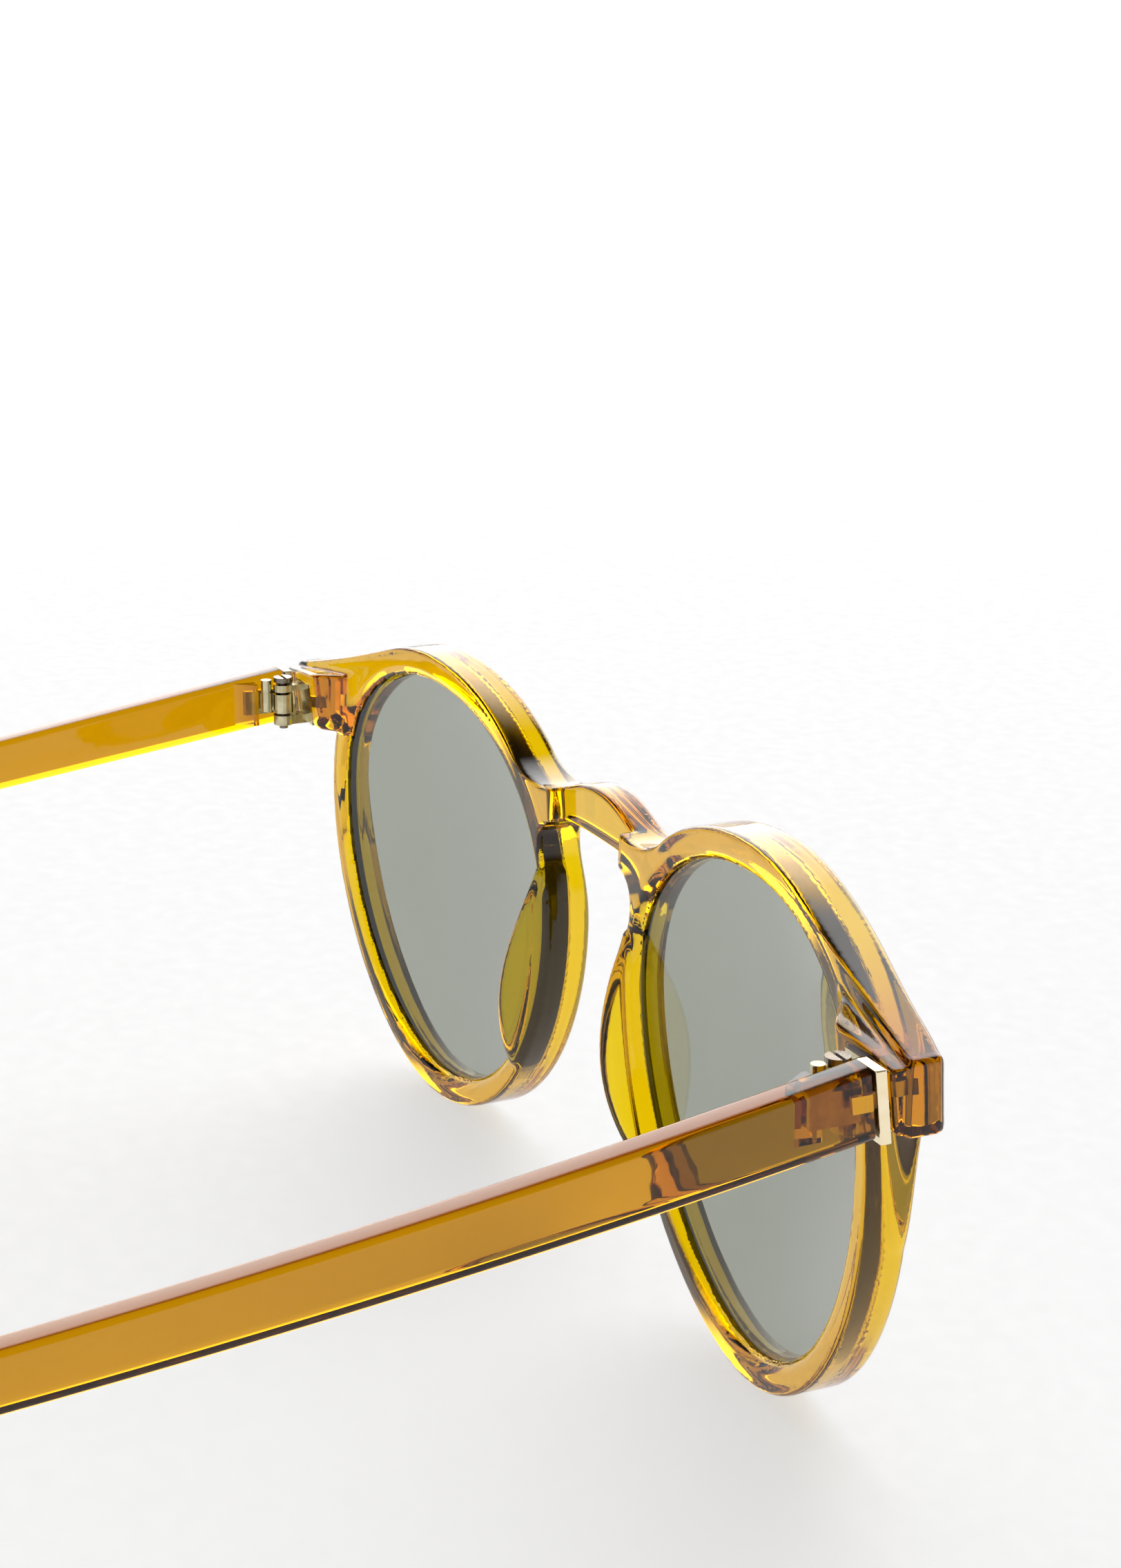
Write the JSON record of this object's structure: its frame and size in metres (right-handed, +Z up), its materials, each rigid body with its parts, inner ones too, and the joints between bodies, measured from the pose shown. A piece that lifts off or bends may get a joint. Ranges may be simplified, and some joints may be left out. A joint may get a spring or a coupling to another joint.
{
  "type": "round sunglasses",
  "caption": "Round keyhole-bridge sunglasses: translucent amber front, grey-green lenses, nose pads, and folding temples on metal hinges behind thin gold trim plates.",
  "frame": {"origin": "bottom centre of the whole object with the temples open; the glasses stand on the bottoms of their rims and the tips of their temples at z = 0", "axes": "+X towards the wearer's left, +Y backwards along the temples, +Z up; the wearer faces -Y and x = 0 is the plane of symmetry"},
  "size_m": [0.1404, 0.1494, 0.0501],
  "materials": {
    "amber_plastic": "polished translucent honey-amber",
    "tinted_lens": "polished grey-green tint",
    "gold_trim": "polished pale gold plating",
    "hinge_metal": "polished dark brass"
  },
  "bodies": {
    "front": {"front_frame": "amber_plastic", "right_lens": "tinted_lens", "right_nose_pad": "amber_plastic", "right_front_hinge_leaf": "hinge_metal", "right_hinge_screw": "hinge_metal", "left_lens": "tinted_lens", "left_nose_pad": "amber_plastic", "left_front_hinge_leaf": "hinge_metal", "left_hinge_screw": "hinge_metal"},
    "right_temple": {"right_temple": "amber_plastic", "right_trim_plate": "gold_trim", "right_temple_hinge_leaf": "hinge_metal"},
    "left_temple": {"left_temple": "amber_plastic", "left_trim_plate": "gold_trim", "left_temple_hinge_leaf": "hinge_metal"}
  },
  "joints": [
    {"name": "right_temple_fold", "type": "hinge", "parent": "front", "child": "right_temple", "pos_m": [-0.0652, -0.06146, 0.03937], "axis": [0, 0, -1], "range_deg": [0, 88]},
    {"name": "left_temple_fold", "type": "hinge", "parent": "front", "child": "left_temple", "pos_m": [0.0652, -0.06146, 0.03937], "axis": [0, 0, 1], "range_deg": [0, 85]}
  ]
}
